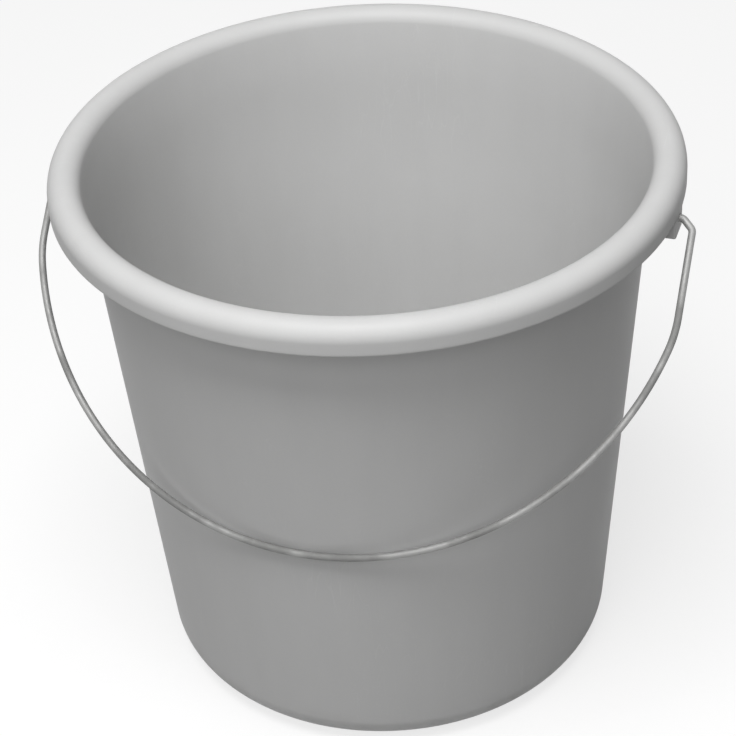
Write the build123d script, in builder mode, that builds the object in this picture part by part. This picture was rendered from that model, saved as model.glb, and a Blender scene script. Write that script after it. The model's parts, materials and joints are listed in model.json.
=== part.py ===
from build123d import *
import os
from math import acos, asin, cos, degrees, radians, sin, sqrt, tan

# Plain tapered plastic bucket with a rolled rim and a swinging wire bail.
# Millimetres, +Z up. The origin is on the ground, on the bucket's axis. The ears lie on the X axis,
# and the bail hangs down the front of the wall, on the -Y side. Angles are in degrees.

# Bucket moulding
bucket_height = 278.0
rim_diameter = 300.0
rim_depth = 14.4  # from the crest to the skirt's lower edge
shoulder_radius = 8.0  # outer rounding, from crest to skirt
lip_radius = 8.0  # inner rounding, from crest to flare
flare_radius = 312.0  # sweep of the inner face, from lip to wall
flare_slope = 11.0  # lean of the flare's top from upright
wall = 2.2
wall_draft = 4.85  # lean of the wall from upright
base_corner_radius = 18.5
foot_ring_width = 8.0
floor_rise = 4.0  # floor above the foot ring
floor_step_slope = 45.0
floor_step_radius = 3.0

# Ears under the rim, one solid with the bucket
ear_inset = 0.4  # outer face behind the skirt's outer face
ear_roof = 1.05  # above the pivot hole, up to the skirt's lower edge
ear_sill = 5.95  # below the pivot hole
ear_cheek = 4.95  # beside the pivot hole
ear_edge_radius = 1.0

# Wire bail
wire_diameter = 3.5
pivot_clearance = 0.3  # around the wire in its hole
bail_side_gap = 4.75  # between the rim and each leg
bail_drop = 23.0  # depth of the bow beyond half its span
bail_wall_gap = 0.3  # between the hanging bow and the wall
bow_swell = 3.5  # bow radius beyond half the span
bail_shoulder_radius = 60.0
ear_bend_angle = 44.0  # slant of the wire between the ear and the leg
ear_bend_radius = 3.5
ear_bend_gap = 0.3  # between the ear and the start of the slant's first bend
hook_length = 9.0
hook_bend_radius = 3.0
hook_ear_gap = 0.3  # between the ear and the start of the hook's bend
hook_flare_gap = 1.3  # between the hook and the flare, at the top of its swing
wire_end_chamfer = 0.5

os.makedirs("parts", exist_ok=True)

# The wall's middle line, from the rim down: skirt, shoulder, crest, lip, flare, wall, foot and floor
half_wall = wall / 2
rim_radius = rim_diameter / 2
draft = radians(wall_draft)
skirt_bottom = bucket_height - rim_depth
shoulder_z = bucket_height - shoulder_radius
crest_radius = rim_radius - shoulder_radius
crest = (crest_radius, bucket_height - half_wall)
skirt_top = (rim_radius - half_wall, shoulder_z)
skirt_end = (rim_radius - half_wall, skirt_bottom + half_wall)

flare_lean = radians(flare_slope)
lip_mid_radius = lip_radius - half_wall
lip_end_r = crest_radius - lip_mid_radius * cos(flare_lean)
lip_end_z = bucket_height - lip_radius + lip_mid_radius * sin(flare_lean)
flare_mid_radius = flare_radius - half_wall
flare_centre_r = lip_end_r + flare_mid_radius * cos(flare_lean)
flare_centre_z = lip_end_z - flare_mid_radius * sin(flare_lean)
wall_top_r = flare_centre_r - flare_mid_radius * cos(draft)
wall_top_z = flare_centre_z + flare_mid_radius * sin(draft)

foot_z = half_wall
floor_z = floor_rise + half_wall
corner_mid_radius = base_corner_radius - half_wall
corner_r = wall_top_r - (wall_top_z - foot_z) * tan(draft)
corner_tangent = corner_mid_radius * tan((radians(90) - draft) / 2)
step_slope = radians(floor_step_slope)
step_tangent = floor_step_radius * tan(step_slope / 2)
foot_inner_r = corner_r - corner_tangent - foot_ring_width - step_tangent
floor_edge_r = foot_inner_r - floor_rise / tan(step_slope)

# The pivot, the hook in the rim's channel beside the flare, and the ear that fills the channel outside it
wire_radius = wire_diameter / 2
pivot_hole_radius = wire_radius + pivot_clearance
pivot_z = skirt_bottom - ear_roof - pivot_hole_radius
hook_top_z = pivot_z + sqrt(hook_length**2 + wire_radius**2)
flare_outer_r = flare_centre_r - sqrt((flare_radius - wall) ** 2 - (hook_top_z - flare_centre_z) ** 2)
hook_u = flare_outer_r + hook_flare_gap + wire_radius
ear_inner = hook_u + hook_bend_radius + hook_ear_gap
ear_outer = rim_radius - ear_inset
ear_middle = (ear_inner + ear_outer) / 2
ear_thickness = ear_outer - ear_inner
ear_width = 2 * (pivot_hole_radius + ear_cheek)
ear_bottom = pivot_z - pivot_hole_radius - ear_sill
ear_crown_radius = ear_outer - crest_radius
ear_crown_angle = degrees(acos((ear_inner - crest_radius) / ear_crown_radius))

# The bail in its own plane: u runs along the pivot axis, and depth runs down the hanging bail
half_span = rim_radius + bail_side_gap + wire_radius
bail_depth = half_span + bail_drop
bow_radius = half_span + bow_swell
slant = radians(ear_bend_angle)
slant_start_u = ear_outer + ear_bend_gap + ear_bend_radius * tan(slant / 2)
leg_start_depth = (half_span - slant_start_u) * tan(slant)
bow_centre_depth = bail_depth - bow_radius
bend_centre_u = half_span - bail_shoulder_radius
bend_centre_reach = bow_radius - bail_shoulder_radius
bend_centre_drop = sqrt(bend_centre_reach**2 - bend_centre_u**2)
leg_end = (half_span, bow_centre_depth + bend_centre_drop)
bow_start_u = bow_radius * bend_centre_u / bend_centre_reach
bow_start_depth = bow_centre_depth + bow_radius * bend_centre_drop / bend_centre_reach

# The bow hangs against the tapered wall, which sets the bail's angle from upright
wall_at_pivot = wall_top_r + (pivot_z - wall_top_z) * tan(draft) + half_wall / cos(draft)
bow_stand_off = wall_at_pivot * cos(draft) + wire_radius + bail_wall_gap
hang_angle = asin(bow_stand_off / bail_depth) - draft
bail_plane = Plane(
    origin=(0, 0, pivot_z),
    x_dir=(1, 0, 0),
    z_dir=(0, cos(hang_angle), -sin(hang_angle)),
)

# One ear: a block that fills the outer half of the rim's channel and hangs below the skirt
with BuildPart() as ear:
    with BuildSketch(Plane.XZ):
        with BuildLine():
            crown = CenterArc((crest_radius, shoulder_z), ear_crown_radius, 0, ear_crown_angle)
            Polyline(crown @ 0, (ear_outer, ear_bottom), (ear_inner, ear_bottom), crown @ 1)
        make_face()
    extrude(amount=ear_width / 2, both=True)
    fillet(ear.edges().filter_by(Axis.Z) + ear.edges().group_by(Axis.Z)[0], ear_edge_radius)

# Bucket: one even wall turned about the axis, with a drilled ear at each side
with BuildPart() as bucket_body:
    with BuildSketch(Plane.XZ):
        with BuildLine():
            side = FilletPolyline(
                (0, floor_z),
                (floor_edge_r, floor_z),
                (foot_inner_r, foot_z),
                (corner_r, foot_z),
                (wall_top_r, wall_top_z),
                radius=[floor_step_radius, floor_step_radius, corner_mid_radius],
            )
            flare = TangentArc(side @ 1, (lip_end_r, lip_end_z), tangent=side % 1)
            lip = TangentArc(flare @ 1, crest, tangent=flare % 1)
            shoulder = TangentArc(lip @ 1, skirt_top, tangent=lip % 1)
            Line(shoulder @ 1, skirt_end)
            offset(amount=half_wall)
        make_face()
        split(bisect_by=Plane.YZ)
    revolve(axis=Axis.Z)
    add(ear.part)
    mirror(ear.part, about=Plane.YZ)
    with Locations((ear_middle, 0, pivot_z), (-ear_middle, 0, pivot_z)):
        Cylinder(pivot_hole_radius, 2 * ear_thickness, rotation=(0, 90, 0), mode=Mode.SUBTRACT)
bucket_body.part.label = "bucket_body"
export_step(bucket_body.part, "parts/bucket_body.step")

# Bail: one bent wire, with a bow, two legs and a hooked end inside each ear
with BuildPart() as wire_bail:
    with BuildLine(bail_plane) as bail_line:
        leg = FilletPolyline(
            (hook_u, -hook_length),
            (hook_u, 0),
            (slant_start_u, 0),
            (half_span, leg_start_depth),
            leg_end,
            radius=[hook_bend_radius, ear_bend_radius, ear_bend_radius],
        )
        TangentArc(leg @ 1, (bow_start_u, bow_start_depth), tangent=leg % 1)
        mirror(about=Plane.YZ)
        ThreePointArc(
            (bow_start_u, bow_start_depth),
            (0, bail_depth),
            (-bow_start_u, bow_start_depth),
        )
    wire_path = bail_line.wire()
    with BuildSketch(Plane(origin=wire_path @ 0, z_dir=wire_path % 0)):
        Circle(wire_radius)
    sweep(path=wire_path)
    chamfer(wire_bail.faces().filter_by(GeomType.PLANE).edges(), wire_end_chamfer)
wire_bail.part.label = "wire_bail"
export_step(wire_bail.part, "parts/wire_bail.step")
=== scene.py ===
"""Looks of a plain grey plastic bucket with a wire bail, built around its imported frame."""

import json
import logging
import math
from collections.abc import Mapping
from dataclasses import dataclass
from enum import Enum
from typing import Any, Union

import bmesh
import bpy
from mathutils import Matrix, Vector


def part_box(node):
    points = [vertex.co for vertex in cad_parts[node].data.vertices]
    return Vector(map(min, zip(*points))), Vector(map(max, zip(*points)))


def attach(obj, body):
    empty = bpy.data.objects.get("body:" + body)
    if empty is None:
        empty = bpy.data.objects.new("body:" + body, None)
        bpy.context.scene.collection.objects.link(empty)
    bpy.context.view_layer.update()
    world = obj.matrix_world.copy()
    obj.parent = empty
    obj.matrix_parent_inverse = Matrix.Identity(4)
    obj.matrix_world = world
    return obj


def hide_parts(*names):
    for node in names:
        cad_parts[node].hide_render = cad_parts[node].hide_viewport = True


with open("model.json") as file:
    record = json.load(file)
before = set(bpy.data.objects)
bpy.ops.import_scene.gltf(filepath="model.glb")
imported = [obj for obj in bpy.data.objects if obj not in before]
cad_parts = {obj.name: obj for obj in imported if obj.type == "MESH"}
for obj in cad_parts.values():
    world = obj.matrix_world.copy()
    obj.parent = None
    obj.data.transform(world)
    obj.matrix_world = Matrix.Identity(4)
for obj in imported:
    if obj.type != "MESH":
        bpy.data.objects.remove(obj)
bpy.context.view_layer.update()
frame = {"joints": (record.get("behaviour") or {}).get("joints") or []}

MM = 0.001
WELD = 0.001 * MM
HAIR = 0.01 * MM
QUARTER_TURN = math.pi / 2
SHARP_CORNER = math.radians(60)
NOISE_MEAN = 0.5
WHITE = (1.0, 1.0, 1.0, 1.0)
LOG = logging.getLogger("bucket")

Triple = tuple[float, float, float]
Colour = Triple
Term = Union[float, "Socket"]
Mesh = bmesh.types.BMesh
Vertex = bmesh.types.BMVert
Edge = bmesh.types.BMEdge
Front = list[Union[Vertex, Edge]]
Material = bpy.types.Material
Piece = bpy.types.Object


class Body(Enum):
    """The moving bodies of the frame."""

    BUCKET = "bucket"
    BAIL = "bail"


class Node(Enum):
    """The solids of the frame."""

    BUCKET = "bucket_body"
    BAIL = "wire_bail"


class Slot(Enum):
    """The material slots of the record."""

    PLASTIC = "grey_plastic"
    WIRE = "galvanised_wire"


class Boolean(Enum):
    """What is done with a solid that meets another."""

    JOIN = "UNION"
    CUT = "DIFFERENCE"


class Socket:
    """The output of a shader node. Python's operators on it add Math nodes."""

    def __init__(self, bench: "Bench", output: bpy.types.NodeSocket) -> None:
        """Wrap one output of a node that lies on the bench."""
        self.bench = bench
        self.output = output

    def _math(self, operation: str, first: Term, second: Term = 0.0) -> "Socket":
        """Add a Math node that works on the two terms."""
        return self.bench.node("ShaderNodeMath", {"operation": operation}, {0: first, 1: second})

    def __add__(self, other: Term) -> "Socket":
        """Add a term."""
        return self._math("ADD", self, other)

    def __radd__(self, other: Term) -> "Socket":
        """Be added to a term."""
        return self._math("ADD", other, self)

    def __sub__(self, other: Term) -> "Socket":
        """Take a term away."""
        return self._math("SUBTRACT", self, other)

    def __rsub__(self, other: Term) -> "Socket":
        """Be taken away from a term."""
        return self._math("SUBTRACT", other, self)

    def __mul__(self, other: Term) -> "Socket":
        """Multiply by a term."""
        return self._math("MULTIPLY", self, other)

    def __rmul__(self, other: Term) -> "Socket":
        """Multiply a term."""
        return self._math("MULTIPLY", other, self)

    def __abs__(self) -> "Socket":
        """Drop the sign."""
        return self._math("ABSOLUTE", self)


@dataclass(frozen=True)
class Cloud:
    """A cloudy noise.

    Attributes:
        scale: Blotches in a unit of length.
        detail: Octaves of finer noise.
        roughness: Strength of the finer octaves.
    """

    scale: float
    detail: float = 2.0
    roughness: float = 0.5


@dataclass(frozen=True)
class Patches:
    """Soft patches where a cloudy noise is high.

    Attributes:
        cloud: The noise.
        start: The noise at a patch's edge.
        full: The noise from which a patch is full.
    """

    cloud: Cloud
    start: float
    full: float


class Bench:
    """A node tree that is being wired, and the one place where nodes are made."""

    def __init__(self, tree: bpy.types.NodeTree) -> None:
        """Clear the tree."""
        self.tree = tree
        tree.nodes.clear()

    def node(
        self,
        kind: str,
        settings: Mapping[str, Any] | None = None,
        sockets: Mapping[int | str, Any] | None = None,
        output: int | str = 0,
    ) -> Socket | None:
        """Make a node.

        Args:
            kind: Blender's name of the node's type.
            settings: The node's own settings, which are set first.
            sockets: Values or links of its inputs, by name or number.
            output: The output to hand back.

        Returns:
            The chosen output, or None for a node that has none.
        """
        made = self.tree.nodes.new(kind)
        for name, value in (settings or {}).items():
            setattr(made, name, value)
        for key, value in (sockets or {}).items():
            if isinstance(value, Socket):
                self.tree.links.new(value.output, made.inputs[key])
            else:
                made.inputs[key].default_value = value
        return Socket(self, made.outputs[output]) if made.outputs else None

    def place(self) -> Socket:
        """Give the point's place on the piece."""
        return self.node("ShaderNodeTexCoord", output="Object")

    def axis(self, vector: Socket, name: str) -> Socket:
        """Give one axis of a vector."""
        return self.node("ShaderNodeSeparateXYZ", sockets={0: vector}, output=name)

    def vector(self, operation: str, *terms: Any, output: str = "Vector") -> Socket:
        """Add a Vector Math node that works on the terms."""
        sockets = dict(enumerate(terms))
        return self.node("ShaderNodeVectorMath", {"operation": operation}, sockets, output)

    def noise(self, vector: Socket, cloud: Cloud) -> Socket:
        """Make cloudy noise, from 0 to 1."""
        shape = {"Scale": cloud.scale, "Detail": cloud.detail, "Roughness": cloud.roughness}
        return self.node("ShaderNodeTexNoise", sockets={"Vector": vector, **shape})

    def swing(self, vector: Socket, cloud: Cloud) -> Socket:
        """Make cloudy noise about 0."""
        return self.noise(vector, cloud) - NOISE_MEAN

    def fade(self, value: Socket, start: float, end: float) -> Socket:
        """Rise smoothly from 0 where the value is at start to 1 where it is at end."""
        limits = {"Value": value, "From Min": start, "From Max": end}
        return self.node("ShaderNodeMapRange", {"interpolation_type": "SMOOTHSTEP"}, limits)

    def patches(self, vector: Socket, patches: Patches) -> Socket:
        """Make soft patches, 1 where they are full."""
        return self.fade(self.noise(vector, patches.cloud), patches.start, patches.full)

    def lines(self, vector: Socket, cloud: Cloud, width: float) -> Socket:
        """Draw thin lines where a noise crosses its mean, as wide as that much change of it."""
        return 1 - self.fade(abs(self.swing(vector, cloud)), 0.0, width)

    def scaled(self, colour: Colour, tone: Socket) -> Socket:
        """Lighten or darken a colour by a tone about 1."""
        sockets = {0: colour, "Scale": tone}
        return self.node("ShaderNodeVectorMath", {"operation": "SCALE"}, sockets)

    def mixed(self, share: Socket, first: Any, second: Any) -> Socket:
        """Mix two colours.

        Args:
            share: How much of the second there is.
            first: A colour or a link to one.
            second: A colour or a link to one.

        Returns:
            The mixed colour.
        """
        first_key, second_key, made = 6, 7, 2
        colours = {
            key: value if isinstance(value, Socket) else (*value, 1.0)
            for key, value in ((first_key, first), (second_key, second))
        }
        return self.node("ShaderNodeMix", {"data_type": "RGBA"}, {0: share, **colours}, made)

    def bump(self, height: Socket, distance: float) -> Socket:
        """Turn a height from 0 to 1 into a bent normal."""
        sockets = {"Height": height, "Strength": 1.0, "Distance": distance}
        return self.node("ShaderNodeBump", sockets=sockets)

    def seen(self) -> Socket:
        """Tell rays that show the background from rays that carry its light.

        Returns:
            A mask, 1 for a ray that shows it.
        """
        rays = ("Is Camera Ray", "Is Glossy Ray", "Is Transmission Ray")
        camera, glossy, through = (self.node("ShaderNodeLightPath", output=name) for name in rays)
        return camera + glossy + through

    def chosen(self, share: Term, first: Socket, second: Socket) -> Socket:
        """Mix two shaders."""
        return self.node("ShaderNodeMixShader", sockets={0: share, 1: first, 2: second})

    def surface(self, shader: Socket) -> None:
        """Use a shader as the material's surface."""
        self.node("ShaderNodeOutputMaterial", sockets={"Surface": shader})


def new_bench(name: str) -> tuple[Material, Bench]:
    """Make an empty material and a bench to wire it on.

    Args:
        name: The material's name.

    Returns:
        The material and its bench.
    """
    material = bpy.data.materials.new(name)
    material.use_nodes = True
    return material, Bench(material.node_tree)


@dataclass(frozen=True)
class Scratches:
    """Thin lines up the wall and short slanted nicks, from stacking and scooping.

    Attributes:
        tone: How much lighter a scratch is.
        roughness: How much rougher it is.
        depth: How deep it is, as a share of the plastic's bumps.
        line: The noise that the lines follow.
        line_rise: How fast that noise changes up the wall.
        line_width: How wide a line is, in that noise.
        line_patches: Where the lines are.
        nick: The noise that the nicks follow.
        nick_turn: How that noise is turned.
        nick_stretch: How it is stretched.
        nick_width: How wide a nick is, in that noise.
        nick_patches: Where the nicks are.
    """

    tone: float = 0.04
    roughness: float = 0.12
    depth: float = 0.5
    line: Cloud = Cloud(21, 1)
    line_rise: float = 1.1
    line_width: float = 0.014
    line_patches: Patches = Patches(Cloud(13), 0.5, 0.68)
    nick: Cloud = Cloud(130, 1)
    nick_turn: Triple = (0.5, 0.9, 0.4)
    nick_stretch: Triple = (1.0, 0.12, 1.0)
    nick_width: float = 0.012
    nick_patches: Patches = Patches(Cloud(24), 0.58, 0.72)

    def mask(self, bench: Bench, place: Socket, around: Socket) -> Socket:
        """Draw the scratches.

        Args:
            bench: Where the nodes go.
            place: The point's place.
            around: The point's direction from the axis.

        Returns:
            A mask, 1 on a scratch.
        """
        drawn = bench.vector("MULTIPLY_ADD", place, (0, 0, self.line_rise), around)
        lines = bench.lines(drawn, self.line, self.line_width)
        slanted = bench.node(
            "ShaderNodeMapping",
            sockets={"Vector": place, "Rotation": self.nick_turn, "Scale": self.nick_stretch},
        )
        nicks = bench.lines(slanted, self.nick, self.nick_width)
        lines = lines * bench.patches(place, self.line_patches)
        return lines + nicks * bench.patches(place, self.nick_patches)


@dataclass(frozen=True)
class FootSoil:
    """Dirt in patches round the foot, which thins out up the wall.

    Attributes:
        colour: Colour of the dirt.
        share: How far it hides the plastic.
        roughness: How much rougher it is.
        full_height: How far up it is thick.
        height: How far up it reaches.
        patches: Where it is.
    """

    colour: Colour = (0.36, 0.35, 0.33)
    share: float = 0.45
    roughness: float = 0.10
    full_height: float = 2 * MM
    height: float = 26 * MM
    patches: Patches = Patches(Cloud(42, 4), 0.4, 0.75)

    def mask(self, bench: Bench, place: Socket, up: Socket) -> Socket:
        """Spread the dirt: 1 where it is thick."""
        low = 1 - bench.fade(up, self.full_height, self.height)
        return bench.patches(place, self.patches) * low


@dataclass(frozen=True)
class RimPolish:
    """The crest of the rim, polished by hands in patches.

    Attributes:
        smoothing: How much smoother it is.
        depth: How far it reaches below the crest.
        patches: Where it is.
    """

    smoothing: float = 0.07
    depth: float = 5 * MM
    patches: Patches = Patches(Cloud(60), 0.35, 0.7)

    def mask(self, bench: Bench, place: Socket, up: Socket, crest: float) -> Socket:
        """Polish the rim: 1 where it is smoothest, at the crest's height."""
        high = bench.fade(up, crest - self.depth, crest)
        return bench.patches(place, self.patches) * high


@dataclass(frozen=True)
class RubAndWireShadow:
    """The worn line on the wall where the bail comes to rest, at the front and at the back,
    darkened partly as wear and partly as painted shadow of the wire lying on it.

    Attributes:
        tone: How much darker the line is, from wear and from the wire's painted shadow.
        smoothing: How much smoother it is.
        half_width: Half its width.
        half_length: Half its length.
        core: The share of its width and length that is fully worn.
        patches: Where it is worn.
    """

    tone: float = 0.08
    smoothing: float = 0.10
    half_width: float = 3.4 * MM
    half_length: float = 34 * MM
    core: float = 0.4
    patches: Patches = Patches(Cloud(26), 0.2, 0.6)

    def mask(self, bench: Bench, place: Socket, pivot: Vector, hang_angle: float) -> Socket:
        """Draw the worn line, which also carries the wire's painted shadow.

        Args:
            bench: Where the nodes go.
            place: The point's place.
            pivot: A point on the bail's axis.
            hang_angle: The bail's angle from upright where it rests.

        Returns:
            A mask, 1 on the line.
        """
        along = abs(bench.axis(place, "X"))
        outward = abs(bench.axis(place, "Y"))
        down = pivot.z - bench.axis(place, "Z")
        apart = abs(outward * math.cos(hang_angle) - down * math.sin(hang_angle))
        line = 1 - bench.fade(apart, self.core * self.half_width, self.half_width)
        reach = 1 - bench.fade(along, self.core * self.half_length, self.half_length)
        return line * reach * bench.patches(place, self.patches)


@dataclass(frozen=True)
class MouldedPlastic:
    """Satin grey polypropylene: faintly mottled, scratched by use and soiled round the foot.

    Attributes:
        name: The material's name.
        colour: Colour of the clean plastic.
        roughness: Roughness of the clean plastic.
        gloss: Specular level.
        refraction: Refractive index.
        mottle: Broad clouds.
        mottle_tone: Change of tone in them.
        mottle_roughness: Change of roughness in them.
        streaks: The flow of the plastic up the wall.
        streak_rise: How fast the streaks change up the wall.
        streak_tone: Change of tone along them.
        flecks: Fine flecks.
        fleck_tone: Change of tone in them.
        grain: Fine bumps.
        grain_share: Their share of the bumps' height.
        ripples: Coarser bumps.
        ripple_share: Their share of the bumps' height.
        bump_height: Height of the bumps.
        scratches: The scratches.
        soil: The dirt round the foot.
        polish: The polished crest.
        rub_and_wire_shadow: The worn lines under the bail, darkened partly as painted shadow of
            the wire.
    """

    name: str = "grey_moulded_plastic"
    colour: Colour = (0.64, 0.64, 0.637)
    roughness: float = 0.50
    gloss: float = 0.25
    refraction: float = 1.49
    mottle: Cloud = Cloud(16, 3)
    mottle_tone: float = 0.07
    mottle_roughness: float = 0.16
    streaks: Cloud = Cloud(8, 3)
    streak_rise: float = 1.6
    streak_tone: float = 0.05
    flecks: Cloud = Cloud(900)
    fleck_tone: float = 0.03
    grain: Cloud = Cloud(1500)
    grain_share: float = 0.5
    ripples: Cloud = Cloud(240)
    ripple_share: float = 0.7
    bump_height: float = 0.05 * MM
    scratches: Scratches = Scratches()
    soil: FootSoil = FootSoil()
    polish: RimPolish = RimPolish()
    rub_and_wire_shadow: RubAndWireShadow = RubAndWireShadow()

    def material(self, bucket: "BucketMoulding", hang_angle: float) -> Material:
        """Wire the plastic.

        Args:
            bucket: The moulding that it is for.
            hang_angle: The bail's angle from upright where it rests on the wall.

        Returns:
            The material.
        """
        material, bench = new_bench(self.name)
        place = bench.place()
        up = bench.axis(place, "Z")
        flat = bench.vector("MULTIPLY", place, (1, 1, 0))
        around = bench.vector("NORMALIZE", flat)
        flowing = bench.vector("MULTIPLY_ADD", place, (0, 0, self.streak_rise), around)
        cloud = bench.swing(place, self.mottle)
        flow = bench.swing(flowing, self.streaks)
        fleck = bench.swing(place, self.flecks)
        scratch = self.scratches.mask(bench, place, around)
        rub_and_wire_shadow = self.rub_and_wire_shadow.mask(bench, place, bucket.pivot, hang_angle)
        rub_and_wire_shadow = rub_and_wire_shadow * self._outside(bench, flat, up, bucket)
        dirt = self.soil.mask(bench, place, up)
        polish = self.polish.mask(bench, place, up, bucket.height)
        tone = 1 + self.mottle_tone * cloud + self.streak_tone * flow + self.fleck_tone * fleck
        # The darkening on the bail's resting line is partly wear and partly painted shadow of the
        # wire on the wall.
        tone = tone + self.scratches.tone * scratch - self.rub_and_wire_shadow.tone * rub_and_wire_shadow
        roughness = self.roughness + self.mottle_roughness * cloud
        roughness = roughness + self.scratches.roughness * scratch + self.soil.roughness * dirt
        roughness = roughness - self.rub_and_wire_shadow.smoothing * rub_and_wire_shadow - self.polish.smoothing * polish
        bumps = self.grain_share * bench.noise(place, self.grain)
        bumps = bumps + self.ripple_share * bench.noise(place, self.ripples)
        bumps = bumps - self.scratches.depth * scratch
        clean = bench.scaled(self.colour, tone)
        shader = bench.node(
            "ShaderNodeBsdfPrincipled",
            sockets={
                "Base Color": bench.mixed(self.soil.share * dirt, clean, self.soil.colour),
                "Roughness": roughness,
                "IOR": self.refraction,
                "Specular IOR Level": self.gloss,
                "Normal": bench.bump(bumps, self.bump_height),
            },
        )
        bench.surface(shader)
        return material

    def _outside(self, bench: Bench, flat: Socket, up: Socket, bucket: "BucketMoulding") -> Socket:
        """Tell the wall's outer face from its inner face.

        Args:
            bench: Where the nodes go.
            flat: The point's place without its height.
            up: The point's height.
            bucket: The moulding.

        Returns:
            A mask, 1 on the outer face.
        """
        radius = bench.vector("LENGTH", flat, output="Value")
        out = radius * math.cos(bucket.wall_draft) - up * math.sin(bucket.wall_draft)
        margin = bucket.wall / 4
        return bench.fade(out, bucket.wall_offset - margin, bucket.wall_offset + margin)


@dataclass(frozen=True)
class Corrosion:
    """A film on the zinc, in patches.

    Attributes:
        colour: Its colour.
        share: How far it hides the zinc.
        dulling: How much less metallic it is.
        roughness: How much rougher it is.
        patches: Where it is.
    """

    colour: Colour
    share: float
    dulling: float
    roughness: float
    patches: Patches


@dataclass(frozen=True)
class GalvanisedWire:
    """Dull zinc on steel wire: faintly spangled, tarnished in patches, with rust in the hooks.

    Attributes:
        name: The material's name.
        colour: Colour of the clean zinc.
        metal: How metallic it is.
        roughness: Its roughness.
        spangles: Crystals of zinc in a metre.
        spangle_tone: Change of tone from crystal to crystal.
        spangle_roughness: Change of roughness from crystal to crystal.
        drawing: Flecks from the drawing of the wire.
        drawing_tone: Change of tone in them.
        grain: Fine bumps.
        bump_height: Their height.
        tarnish: The dull film in patches.
        rust: The rust in the hooks.
        rust_height: How far rust stands out, as a share of the bumps.
        ear_fade: Length in which rust fades out inside an ear's outer face.
        hook_fade: Length in which it fades out beyond the hooks' reach.
    """

    name: str = "galvanised_wire"
    colour: Colour = (0.36, 0.36, 0.355)
    metal: float = 0.45
    roughness: float = 0.58
    spangles: float = 420.0
    spangle_tone: float = 0.12
    spangle_roughness: float = 0.14
    drawing: Cloud = Cloud(700)
    drawing_tone: float = 0.08
    grain: Cloud = Cloud(900)
    bump_height: float = 0.04 * MM
    tarnish: Corrosion = Corrosion(
        colour=(0.24, 0.24, 0.235),
        share=0.8,
        dulling=0.25,
        roughness=0.16,
        patches=Patches(Cloud(48, 4), 0.38, 0.62),
    )
    rust: Corrosion = Corrosion(
        colour=(0.17, 0.12, 0.09),
        share=0.8,
        dulling=0.40,
        roughness=0.3,
        patches=Patches(Cloud(330, 4, roughness=0.6), 0.53, 0.66),
    )
    rust_height: float = 0.6
    ear_fade: float = 2 * MM
    hook_fade: float = 3 * MM

    def material(self, pivot: Vector, ear_outer: float, hook_length: float) -> Material:
        """Wire the zinc.

        Args:
            pivot: A point on the bail's axis.
            ear_outer: Distance of the ears' outer faces from the middle.
            hook_length: How far the hooks reach from the axis.

        Returns:
            The material.
        """
        material, bench = new_bench(self.name)
        place = bench.place()
        cells = {"Vector": place, "Scale": self.spangles}
        cell = bench.node("ShaderNodeTexVoronoi", sockets=cells, output="Color")
        spangle = bench.axis(cell, "X") - NOISE_MEAN
        drawing = bench.swing(place, self.drawing)
        dull = bench.patches(place, self.tarnish.patches)
        along = abs(bench.axis(place, "X"))
        in_ear = 1 - bench.fade(along, ear_outer - self.ear_fade, ear_outer)
        from_axis = bench.vector("MULTIPLY", bench.vector("SUBTRACT", place, pivot), (0, 1, 1))
        reach = bench.vector("LENGTH", from_axis, output="Value")
        in_hook = 1 - bench.fade(reach, hook_length, hook_length + self.hook_fade)
        rusty = bench.patches(place, self.rust.patches) * in_ear * in_hook
        tone = 1 + self.spangle_tone * spangle + self.drawing_tone * drawing
        clean = bench.scaled(self.colour, tone)
        zinc = bench.mixed(self.tarnish.share * dull, clean, self.tarnish.colour)
        metal = self.metal - self.tarnish.dulling * dull - self.rust.dulling * rusty
        roughness = self.roughness + self.spangle_roughness * spangle
        roughness = roughness + self.tarnish.roughness * dull + self.rust.roughness * rusty
        bumps = bench.noise(place, self.grain) + self.rust_height * rusty
        shader = bench.node(
            "ShaderNodeBsdfPrincipled",
            sockets={
                "Base Color": bench.mixed(self.rust.share * rusty, zinc, self.rust.colour),
                "Metallic": metal,
                "Roughness": roughness,
                "Normal": bench.bump(bumps, self.bump_height),
            },
        )
        bench.surface(shader)
        return material


@dataclass(frozen=True)
class StudioPaper:
    """Pale paper on the floor: nearly white to the eye, greyer in the light that it throws back.

    Attributes:
        name: The material's name.
        paper: What the eye sees of the lamps' light on it, with the object's shadow.
        fibres: The clouds of its fibres.
        fibre_tone: Change of tone in them.
        glow: What the eye sees besides.
        bounce: Colour of the light that it throws back.
    """

    name: str = "studio_paper"
    paper: Colour = (0.30, 0.30, 0.30)
    fibres: Cloud = Cloud(30, 4)
    fibre_tone: float = 0.02
    glow: float = 0.74
    bounce: Colour = (0.30, 0.30, 0.30)

    def material(self) -> Material:
        """Wire the paper.

        Returns:
            The material.
        """
        material, bench = new_bench(self.name)
        tone = 1 + self.fibre_tone * bench.swing(bench.place(), self.fibres)
        colour = bench.scaled(self.paper, tone)
        paper = bench.node("ShaderNodeBsdfDiffuse", sockets={"Color": colour})
        light = {"Color": WHITE, "Strength": self.glow}
        glow = bench.node("ShaderNodeEmission", sockets=light)
        shown = bench.node("ShaderNodeAddShader", sockets={0: paper, 1: glow})
        thrown = bench.node("ShaderNodeBsdfDiffuse", sockets={"Color": (*self.bounce, 1.0)})
        bench.surface(bench.chosen(bench.seen(), thrown, shown))
        return material


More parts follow.
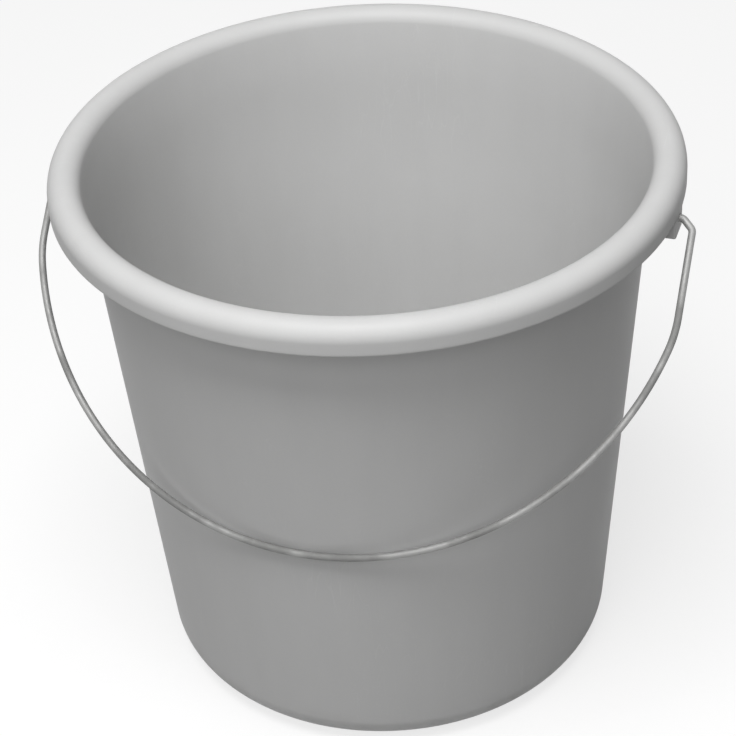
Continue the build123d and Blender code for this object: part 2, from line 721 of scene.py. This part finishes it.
@dataclass
class Pen:
    """Moves geometry along straight runs and round bends, and leaves edges or faces behind it.

    Attributes:
        mesh: The mesh that is drawn in.
        front: What moves. A vertex draws a line, and a ring of edges draws a tube.
        place: Where the pen is.
        heading: The way it goes.
        normal: The normal of the plane that it stays in.
        chord_error: The most that a facet of a bend lies inside the true arc.
    """

    mesh: Mesh
    front: Front
    place: Vector
    heading: Vector
    normal: Vector
    chord_error: float = 0.008 * MM

    def run(self, length: float, parts: int = 1) -> None:
        """Go straight ahead.

        Args:
            length: How far.
            parts: How many pieces the run is drawn in.
        """
        made = bmesh.ops.spin(
            self.mesh,
            geom=self.front,
            cent=self.place,
            axis=self.normal,
            dvec=self.heading * (length / parts),
            angle=0.0,
            steps=parts,
        )
        self.front = made["geom_last"]
        self.place = self.place + self.heading * length

    def turn(self, radius: float, angle: float) -> None:
        """Go round a bend.

        Args:
            radius: The bend's radius.
            angle: How far to turn, in radians, and to the right if it is negative.
        """
        spoke = self.normal.cross(self.heading) * math.copysign(radius, angle)
        centre = self.place + spoke
        facet = 2 * math.acos(1 - self.chord_error / radius)
        made = bmesh.ops.spin(
            self.mesh,
            geom=self.front,
            cent=centre,
            axis=self.normal,
            angle=angle,
            steps=math.ceil(abs(angle) / facet),
        )
        self.front = made["geom_last"]
        turned = Matrix.Rotation(angle, 3, self.normal)
        self.place = centre - turned @ spoke
        self.heading = turned @ self.heading


def section_pen(mesh: Mesh, radius: float, height: float) -> Pen:
    """Start a line at a point of the upright section through the axis, heading up."""
    place = Vector((radius, 0, height))
    return Pen(mesh, [mesh.verts.new(place)], place, Vector((0, 0, 1)), Vector((0, -1, 0)))


def add_pin(mesh: Mesh, radius: float, length: float, facets: int, place: Matrix) -> None:
    """Add a closed round pin to a mesh.

    Args:
        mesh: The mesh.
        radius: The pin's radius.
        length: The pin's length.
        facets: Facets round it.
        place: Where its middle is and how it is turned from upright.
    """
    bmesh.ops.create_cone(
        mesh,
        cap_ends=True,
        segments=facets,
        radius1=radius,
        radius2=radius,
        depth=length,
        matrix=place,
    )


def round_edges(mesh: Mesh, edges: list[Edge], radius: float, facets: int) -> None:
    """Round edges of a mesh.

    Args:
        mesh: The mesh.
        edges: The edges.
        radius: How far a round reaches from its edge.
        facets: Facets across a round.
    """
    bmesh.ops.bevel(
        mesh, geom=edges, offset=radius, affect="EDGES", segments=facets, profile=0.5, material=-1
    )


def mesh_object(name: str, mesh: Mesh) -> Piece:
    """Turn a finished bmesh into an object at the origin.

    Args:
        name: The object's name.
        mesh: The bmesh, which is freed.

    Returns:
        The object, linked to the scene.
    """
    data = bpy.data.meshes.new(name)
    mesh.to_mesh(data)
    mesh.free()
    made = bpy.data.objects.new(name, data)
    bpy.context.scene.collection.objects.link(made)
    return made


def combined(base: Piece, tools: list[tuple[Boolean, Piece]]) -> None:
    """Join solids to an object or cut them out of it, and remove them.

    Args:
        base: The object that is changed.
        tools: What is done and the solids that it is done with, in order.
    """
    for operation, tool in tools:
        modifier = base.modifiers.new(tool.name, "BOOLEAN")
        modifier.operation = operation.value
        modifier.solver = "EXACT"
        modifier.object = tool
    graph = bpy.context.evaluated_depsgraph_get()
    made = bpy.data.meshes.new_from_object(base.evaluated_get(graph))
    made.name = base.data.name
    base.modifiers.clear()
    old = base.data
    base.data = made
    bpy.data.meshes.remove(old)
    for _, tool in tools:
        bpy.data.meshes.remove(tool.data)


def smooth(piece: Piece, crease: float = math.radians(32)) -> None:
    """Shade a piece smooth, with a crease along every edge that turns sharply.

    Args:
        piece: The mesh object.
        crease: The least angle between the faces of a crease.
    """
    mesh = bmesh.new()
    mesh.from_mesh(piece.data)
    for face in mesh.faces:
        face.smooth = True
    for edge in mesh.edges:
        edge.smooth = edge.calc_face_angle(math.pi) < crease
    mesh.to_mesh(piece.data)
    mesh.free()


def settle(piece: Piece, node: Node, body: Body, finish: Material) -> None:
    """Put a finished piece in the place of its solid.

    Args:
        piece: The mesh object.
        node: The solid that it stands for.
        body: The body that it rides on.
        finish: Its material.
    """
    piece.data.materials.clear()
    piece.data.materials.append(finish)
    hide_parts(node.value)
    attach(piece, body.value)
    LOG.info("%s: %d faces on body %s", piece.name, len(piece.data.polygons), body.value)


@dataclass(frozen=True)
class BucketFacets:
    """How finely the bucket is drawn.

    Attributes:
        around: Facets round the bucket.
        skirt: Rings of faces up the skirt.
        wall: Rings of faces down the wall.
        foot: Rings of faces across the foot ring.
        floor: Rings of faces across the floor.
        skirt_round: Facets across each round of the skirt's lower edge.
        ear_round: Facets across each round of an ear.
        gate: Facets round the gate mark.
        gate_round: Facets across its round.
        hole: Facets round a pivot hole.
    """

    around: int = 288
    skirt: int = 3
    wall: int = 24
    foot: int = 2
    floor: int = 10
    skirt_round: int = 5
    ear_round: int = 4
    gate: int = 48
    gate_round: int = 3
    hole: int = 32


@dataclass
class BucketMoulding:
    """The moulded bucket: one even wall from the skirt to the floor, with an ear at each side.

    Attributes:
        rim_radius: Outer radius of the rim, from the frame.
        height: Height of the rim, from the frame.
        pivot: Middle of the bail's axis, from the frame.
        rim_depth: From the crest to the skirt's lower edge.
        shoulder_radius: Outer rounding, from crest to skirt.
        lip_radius: Inner rounding, from crest to flare.
        flare_radius: Sweep of the inner face, from lip to wall.
        flare_slope: Lean of the flare's top from upright.
        wall: Thickness of the wall.
        wall_draft: Lean of the wall from upright.
        base_corner_radius: Outer rounding, from wall to foot ring.
        foot_ring_width: Width of the flat ring that the bucket stands on.
        floor_rise: Height of the floor above the foot ring.
        step_slope: Slope of the step between them.
        step_radius: Bends of that step, at the middle of the wall.
        skirt_round: Rounds at the skirt's lower edge.
        ear_inner: Distance of the ears' inner faces from the middle.
        ear_inset: How far the ears' outer faces lie behind the skirt's.
        ear_width: Width of an ear.
        ear_bottom: Height of its lower end.
        ear_round: Rounds of its edges.
        hole_radius: Radius of the pivot hole in it.
        gate_radius: Radius of the gate mark.
        gate_depth: How far it stands out below the floor.
        facets: How finely the bucket is drawn.
        finish: The plastic.
    """

    rim_radius: float
    height: float
    pivot: Vector
    rim_depth: float = 14.4 * MM
    shoulder_radius: float = 8 * MM
    lip_radius: float = 8 * MM
    flare_radius: float = 312 * MM
    flare_slope: float = math.radians(11)
    wall: float = 2.2 * MM
    wall_draft: float = math.radians(4.85)
    base_corner_radius: float = 18.5 * MM
    foot_ring_width: float = 8 * MM
    floor_rise: float = 4 * MM
    step_slope: float = math.radians(45)
    step_radius: float = 3 * MM
    skirt_round: float = 1.05 * MM
    ear_inner: float = 142.381 * MM
    ear_inset: float = 0.4 * MM
    ear_width: float = 14 * MM
    ear_bottom: float = 252.5 * MM
    ear_round: float = 1 * MM
    hole_radius: float = 2.05 * MM
    gate_radius: float = 3.5 * MM
    gate_depth: float = 0.7 * MM
    facets: BucketFacets = BucketFacets()
    finish: MouldedPlastic = MouldedPlastic()

    @property
    def skirt_bottom(self) -> float:
        """Height of the skirt's lower edge."""
        return self.height - self.rim_depth

    @property
    def shoulder_height(self) -> float:
        """Height where the skirt runs into the shoulder."""
        return self.height - self.shoulder_radius

    @property
    def ear_outer(self) -> float:
        """Distance of the ears' outer faces from the middle."""
        return self.rim_radius - self.ear_inset

    @property
    def wall_offset(self) -> float:
        """Find how far out the wall stands.

        Returns:
            The distance of its middle, square to it, from a line through the origin along it.
        """
        grown = self.flare_radius - self.lip_radius
        out = self.rim_radius - self.shoulder_radius + grown * math.cos(self.flare_slope)
        up = self.height - self.lip_radius - grown * math.sin(self.flare_slope)
        flare_centre = out * math.cos(self.wall_draft) - up * math.sin(self.wall_draft)
        return flare_centre - self.flare_radius + self.wall / 2

    def build(self, hang_angle: float) -> Piece:
        """Mould the bucket and dress it.

        Args:
            hang_angle: The bail's angle from upright where it rests.

        Returns:
            The finished piece.
        """
        bucket = mesh_object("moulded_bucket", self._shell())
        ears = mesh_object("ears", self._ears())
        gate = mesh_object("gate_mark", self._gate_mark())
        holes = mesh_object("pivot_holes", self._pivot_holes())
        combined(bucket, [(Boolean.JOIN, ears), (Boolean.JOIN, gate), (Boolean.CUT, holes)])
        smooth(bucket)
        material = self.finish.material(self, hang_angle)
        settle(bucket, Node.BUCKET, Body.BUCKET, material)
        return bucket

    def _shell(self) -> Mesh:
        """Draw one face of the wall from the skirt to the axis, turn it and thicken it.

        Returns:
            The closed shell.
        """
        mesh = bmesh.new()
        pen = section_pen(mesh, self.rim_radius, self.skirt_bottom)
        self._draw_rim(pen)
        self._draw_side(pen)
        self._draw_floor(pen)
        bmesh.ops.spin(
            mesh,
            geom=[*mesh.verts, *mesh.edges],
            cent=(0, 0, 0),
            axis=(0, 0, 1),
            angle=2 * math.pi,
            steps=self.facets.around,
            use_merge=True,
        )
        bmesh.ops.remove_doubles(mesh, verts=mesh.verts, dist=WELD)
        bmesh.ops.recalc_face_normals(mesh, faces=mesh.faces)
        bmesh.ops.solidify(mesh, geom=mesh.faces, thickness=self.wall)
        self._round_skirt(mesh)
        return mesh

    def _draw_rim(self, pen: Pen) -> None:
        """Go up the skirt, over the rolled rim and down the flare to the wall.

        Args:
            pen: A pen at the skirt's lower edge.
        """
        pen.run(self.shoulder_height - self.skirt_bottom, self.facets.skirt)
        pen.turn(self.shoulder_radius, QUARTER_TURN)
        pen.turn(self.lip_radius, QUARTER_TURN - self.flare_slope)
        pen.turn(self.flare_radius, self.flare_slope - self.wall_draft)

    def _draw_side(self, pen: Pen) -> None:
        """Go down the drafted wall and round the corner onto the foot ring.

        Args:
            pen: A pen at the top of the wall.
        """
        corner = self.base_corner_radius - self.wall
        corner_height = self.wall + corner * (1 - math.sin(self.wall_draft))
        fall = pen.place.z - corner_height
        pen.run(fall / math.cos(self.wall_draft), self.facets.wall)
        pen.turn(corner, self.wall_draft - QUARTER_TURN)

    def _draw_floor(self, pen: Pen) -> None:
        """Cross the foot ring, step up to the floor and go on to the axis.

        Args:
            pen: A pen at the outer edge of the foot ring.
        """
        low_bend = self.step_radius - self.wall / 2
        high_bend = self.step_radius + self.wall / 2
        bend_rise = (low_bend + high_bend) * (1 - math.cos(self.step_slope))
        pen.run(self.foot_ring_width, self.facets.foot)
        pen.turn(low_bend, -self.step_slope)
        pen.run((self.floor_rise - bend_rise) / math.sin(self.step_slope))
        pen.turn(high_bend, self.step_slope)
        pen.run(pen.place.x, self.facets.floor)

    def _at_skirt_end(self, vertex: Vertex) -> bool:
        """Tell whether a vertex lies on the skirt's lower end."""
        level = abs(vertex.co.z - self.skirt_bottom) < HAIR
        return level and vertex.co.xy.length > self.rim_radius - 2 * self.wall

    def _round_skirt(self, mesh: Mesh) -> None:
        """Round both edges of the skirt's lower end.

        Args:
            mesh: The closed shell.
        """
        edges = [
            edge
            for edge in mesh.edges
            if all(self._at_skirt_end(vertex) for vertex in edge.verts)
            and edge.calc_face_angle(0.0) > SHARP_CORNER
        ]
        round_edges(mesh, edges, self.skirt_round, self.facets.skirt_round)

    def _ears(self) -> Mesh:
        """Make the two ears, blocks that fill the rim's channel and hang below the skirt.

        Returns:
            Both closed blocks.
        """
        mesh = bmesh.new()
        pen = section_pen(mesh, self.ear_outer, self.ear_bottom)
        crown = self.ear_outer - (self.rim_radius - self.shoulder_radius)
        pen.run(self.shoulder_height - self.ear_bottom)
        pen.turn(crown, math.acos(1 - (self.ear_outer - self.ear_inner) / crown))
        pen.heading = Vector((0, 0, -1))
        pen.run(pen.place.z - self.ear_bottom)
        bmesh.ops.contextual_create(mesh, geom=mesh.verts)
        made = bmesh.ops.extrude_face_region(mesh, geom=mesh.faces)
        moved = [item for item in made["geom"] if isinstance(item, Vertex)]
        bmesh.ops.translate(mesh, verts=moved, vec=(0, self.ear_width, 0))
        bmesh.ops.translate(mesh, verts=mesh.verts, vec=(0, -self.ear_width / 2, 0))
        bmesh.ops.recalc_face_normals(mesh, faces=mesh.faces)
        low = self.shoulder_height - self.ear_round
        edges = [edge for edge in mesh.edges if min(v.co.z for v in edge.verts) < low]
        round_edges(mesh, edges, self.ear_round, self.facets.ear_round)
        bmesh.ops.spin(
            mesh,
            geom=[*mesh.verts, *mesh.edges, *mesh.faces],
            cent=(0, 0, 0),
            axis=(0, 0, 1),
            angle=math.pi,
            steps=1,
            use_duplicate=True,
        )
        bmesh.ops.recalc_face_normals(mesh, faces=mesh.faces)
        return mesh

    def _gate_mark(self) -> Mesh:
        """Make the small stub that the mould's gate leaves under the floor.

        Returns:
            The closed stub.
        """
        mesh = bmesh.new()
        top = self.floor_rise + self.wall / 2
        bottom = self.floor_rise - self.gate_depth
        middle = Matrix.Translation((0, 0, (top + bottom) / 2))
        add_pin(mesh, self.gate_radius, top - bottom, self.facets.gate, middle)
        rim = [edge for edge in mesh.edges if all(v.co.z < self.floor_rise for v in edge.verts)]
        round_edges(mesh, rim, self.gate_depth / 2, self.facets.gate_round)
        return mesh

    def _pivot_holes(self) -> Mesh:
        """Make the two pins that are cut out of the ears.

        Returns:
            Both closed pins.
        """
        mesh = bmesh.new()
        middle = (self.ear_inner + self.ear_outer) / 2
        length = 2 * (self.ear_outer - self.ear_inner)
        lie = Matrix.Rotation(QUARTER_TURN, 4, "Y")
        for side in (-1, 1):
            place = Matrix.Translation((side * middle, 0, self.pivot.z)) @ lie
            add_pin(mesh, self.hole_radius, length, self.facets.hole, place)
        return mesh


@dataclass
class WireBail:
    """The bail: one wire bent into a bow, two legs and a hook inside each ear.

    Attributes:
        pivot: Middle of the bail's axis, from the frame.
        half_span: Distance of each leg from the middle, from the frame.
        lowest: Middle of the bow's lowest point, from the frame.
        ear_outer: Distance of the ears' outer faces from the middle.
        wire_radius: Radius of the wire.
        hook_distance: Distance of each hook from the middle.
        hook_length: How far the hooks reach from the axis.
        hook_bend_radius: Bend from the hook to the axis.
        ear_bend_angle: Slant of the wire between the ear and the leg.
        ear_bend_radius: Bends at both ends of the slant.
        ear_bend_gap: Between the ear and the start of the first of them.
        shoulder_radius: Bend from the leg to the bow.
        bow_swell: Bow radius beyond half the span.
        end_round: Rounds at the wire's cut ends.
        end_facets: Facets across each of them.
        sides: Facets round the wire.
        finish: The zinc.
    """

    pivot: Vector
    half_span: float
    lowest: Vector
    ear_outer: float
    wire_radius: float = 1.75 * MM
    hook_distance: float = 139.081 * MM
    hook_length: float = 9 * MM
    hook_bend_radius: float = 3 * MM
    ear_bend_angle: float = math.radians(44)
    ear_bend_radius: float = 3.5 * MM
    ear_bend_gap: float = 0.3 * MM
    shoulder_radius: float = 60 * MM
    bow_swell: float = 3.5 * MM
    end_round: float = 0.5 * MM
    end_facets: int = 3
    sides: int = 20
    finish: GalvanisedWire = GalvanisedWire()

    @property
    def hang_angle(self) -> float:
        """The bail's angle from upright where it rests."""
        return math.atan2(self.pivot.y - self.lowest.y, self.pivot.z - self.lowest.z)

    def build(self) -> Piece:
        """Bend the wire and dress it.

        Returns:
            The finished piece.
        """
        mesh = bmesh.new()
        down = (self.lowest - self.pivot).normalized()
        along = Vector((1, 0, 0))
        start = self.pivot + along * self.hook_distance - down * self.hook_length
        facing = Matrix.Translation(start) @ down.to_track_quat("Z", "X").to_matrix().to_4x4()
        bmesh.ops.create_circle(
            mesh, cap_ends=True, segments=self.sides, radius=self.wire_radius, matrix=facing
        )
        pen = Pen(mesh, [*mesh.verts, *mesh.edges], start, down, along.cross(down))
        self._draw(pen)
        last_ring = [item for item in pen.front if isinstance(item, Edge)]
        bmesh.ops.edgeloop_fill(mesh, edges=last_ring)
        bmesh.ops.recalc_face_normals(mesh, faces=mesh.faces)
        self._round_ends(mesh)
        bail = mesh_object("bent_wire_bail", mesh)
        smooth(bail)
        material = self.finish.material(self.pivot, self.ear_outer, self.hook_length)
        settle(bail, Node.BAIL, Body.BAIL, material)
        return bail

    def _draw(self, pen: Pen) -> None:
        """Draw the right hook and leg, the bow, and the left leg and hook.

        Args:
            pen: A pen at the end of the right hook, heading for the axis.
        """
        bow_radius = self.half_span + self.bow_swell
        reach = bow_radius - self.shoulder_radius
        sweep = math.acos((self.half_span - self.shoulder_radius) / reach)
        leg_bend_angle = QUARTER_TURN - self.ear_bend_angle
        ear_tangent = self.ear_bend_radius * math.tan(self.ear_bend_angle / 2)
        leg_tangent = self.ear_bend_radius * math.tan(leg_bend_angle / 2)
        axle_end = self.ear_outer + self.ear_bend_gap
        axle = axle_end - self.hook_distance - self.hook_bend_radius
        aside = self.half_span - axle_end - ear_tangent
        slant = aside / math.cos(self.ear_bend_angle) - ear_tangent - leg_tangent
        leg_start = aside * math.tan(self.ear_bend_angle) + leg_tangent
        depth = (self.lowest - self.pivot).length
        leg_end = depth - bow_radius + reach * math.sin(sweep)
        side = (
            (self.hook_length - self.hook_bend_radius, self.hook_bend_radius, -QUARTER_TURN),
            (axle, self.ear_bend_radius, self.ear_bend_angle),
            (slant, self.ear_bend_radius, leg_bend_angle),
            (leg_end - leg_start, self.shoulder_radius, sweep),
        )
        for length, radius, angle in side:
            pen.run(length)
            pen.turn(radius, angle)
        pen.turn(bow_radius, math.pi - 2 * sweep)
        for length, radius, angle in reversed(side):
            pen.turn(radius, angle)
            pen.run(length)

    def _round_ends(self, mesh: Mesh) -> None:
        """Round the two cut ends of the wire.

        Args:
            mesh: The closed wire.
        """
        ends = [face for face in mesh.faces if len(face.verts) == self.sides]
        edges = [edge for face in ends for edge in face.edges]
        round_edges(mesh, edges, self.end_round, self.end_facets)


@dataclass(frozen=True)
class Lamp:
    """A soft square lamp that faces the bucket.

    Attributes:
        name: The lamp's name.
        place: Where it hangs.
        size: Its width.
        power: Its power in watts.
    """

    name: str
    place: Triple
    size: float
    power: float

    def hang(self, aim: Vector) -> None:
        """Hang the lamp and turn it to a point.

        Args:
            aim: The point.
        """
        light = bpy.data.lights.new(self.name, "AREA")
        light.size = self.size
        light.energy = self.power
        lamp = bpy.data.objects.new(self.name, light)
        lamp.location = self.place
        lamp.rotation_euler = (aim - lamp.location).to_track_quat("-Z", "Y").to_euler()
        bpy.context.scene.collection.objects.link(lamp)


@dataclass
class Studio:
    """A pale floor, soft lamps and an even sky round the bucket.

    Attributes:
        aim: The point that the lamps face.
        floor_width: Width of the floor.
        floor_parts: Faces along each of its sides.
        floor_gap: How far it lies below the foot ring.
        sky: Strength of the even light.
        backdrop: Strength of the white background.
        paper: The floor's finish.
        lamps: The lamps.
    """

    aim: Vector
    floor_width: float = 14.0
    floor_parts: int = 4
    floor_gap: float = 0.1 * MM
    sky: float = 0.04
    backdrop: float = 1.0
    paper: StudioPaper = StudioPaper()
    lamps: tuple[Lamp, ...] = (
        Lamp("top_lamp", place=(0.0, -0.64, 2.26), size=1.2, power=41.0),
        Lamp("front_lamp", place=(0.13, -1.77, 1.45), size=1.2, power=13.4),
    )

    def build(self) -> None:
        """Lay the floor, hang the lamps and light the sky."""
        self._lay_floor()
        for lamp in self.lamps:
            lamp.hang(self.aim)
        self._light_sky()
        bpy.context.scene.view_settings.view_transform = "Standard"

    def _lay_floor(self) -> None:
        """Lay the paper just under the foot ring."""
        mesh = bmesh.new()
        parts = self.floor_parts
        bmesh.ops.create_grid(mesh, x_segments=parts, y_segments=parts, size=self.floor_width / 2)
        bmesh.ops.translate(mesh, verts=mesh.verts, vec=(0, 0, -self.floor_gap))
        floor = mesh_object("studio_floor", mesh)
        floor.data.materials.append(self.paper.material())

    def _light_sky(self) -> None:
        """Light the room evenly, in front of a white background."""
        world = bpy.data.worlds.new("studio_sky")
        world.use_nodes = True
        bpy.context.scene.world = world
        bench = Bench(world.node_tree)
        light, white = (
            bench.node("ShaderNodeBackground", sockets={"Color": WHITE, "Strength": strength})
            for strength in (self.sky, self.backdrop)
        )
        shader = bench.chosen(bench.seen(), light, white)
        bench.node("ShaderNodeOutputWorld", sockets={"Surface": shader})


@dataclass
class PhotoCamera:
    """The camera, at the photograph's viewing angle.

    Attributes:
        aim: The point in the middle of the picture.
        azimuth: How far the camera is turned round the bucket, from the front.
        elevation: How far it looks down.
        roll: How far it is tilted to the side.
        distance: How far it stands from the aim.
        focal_pixels: Focal length in pixels of the photograph.
        image_pixels: Width of the photograph.
        sensor_width: Width of the sensor in millimetres.
    """

    aim: Triple = (-4.57 * MM, -1.27 * MM, 150.5 * MM)
    azimuth: float = math.radians(19.4)
    elevation: float = math.radians(35.63)
    roll: float = math.radians(-3.33)
    distance: float = 1.2454
    focal_pixels: float = 2500.0
    image_pixels: float = 736.0
    sensor_width: float = 36.0

    def build(self) -> None:
        """Make the camera and give it to the scene."""
        data = bpy.data.cameras.new("photo_camera")
        data.sensor_width = self.sensor_width
        data.lens = self.focal_pixels / self.image_pixels * self.sensor_width
        camera = bpy.data.objects.new("photo_camera", data)
        stand = Matrix.Translation(self.aim) @ Matrix.Rotation(self.azimuth, 4, "Z")
        tilt = Matrix.Rotation(QUARTER_TURN - self.elevation, 4, "X")
        back = Matrix.Translation((0, 0, self.distance))
        camera.matrix_world = stand @ tilt @ back @ Matrix.Rotation(self.roll, 4, "Z")
        bpy.context.scene.collection.objects.link(camera)
        bpy.context.scene.camera = camera


def main() -> None:
    """Build the bucket, the bail, the studio and the camera."""
    logging.basicConfig(level=logging.INFO, format="%(message)s")
    pivot = Vector(frame["joints"][0]["pos_m"])
    wire_low, wire_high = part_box(Node.BAIL.value)
    bucket_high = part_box(Node.BUCKET.value)[1]
    radius = WireBail.wire_radius
    lowest = Vector((0, wire_low.y + radius, wire_low.z + radius))
    bucket = BucketMoulding(min(bucket_high.x, bucket_high.y), bucket_high.z, pivot)
    bail = WireBail(pivot, wire_high.x - radius, lowest, bucket.ear_outer)
    bucket.build(bail.hang_angle)
    bail.build()
    Studio(aim=Vector((0, 0, bucket.height / 2))).build()
    PhotoCamera().build()


if __name__ == "__main__":
    main()
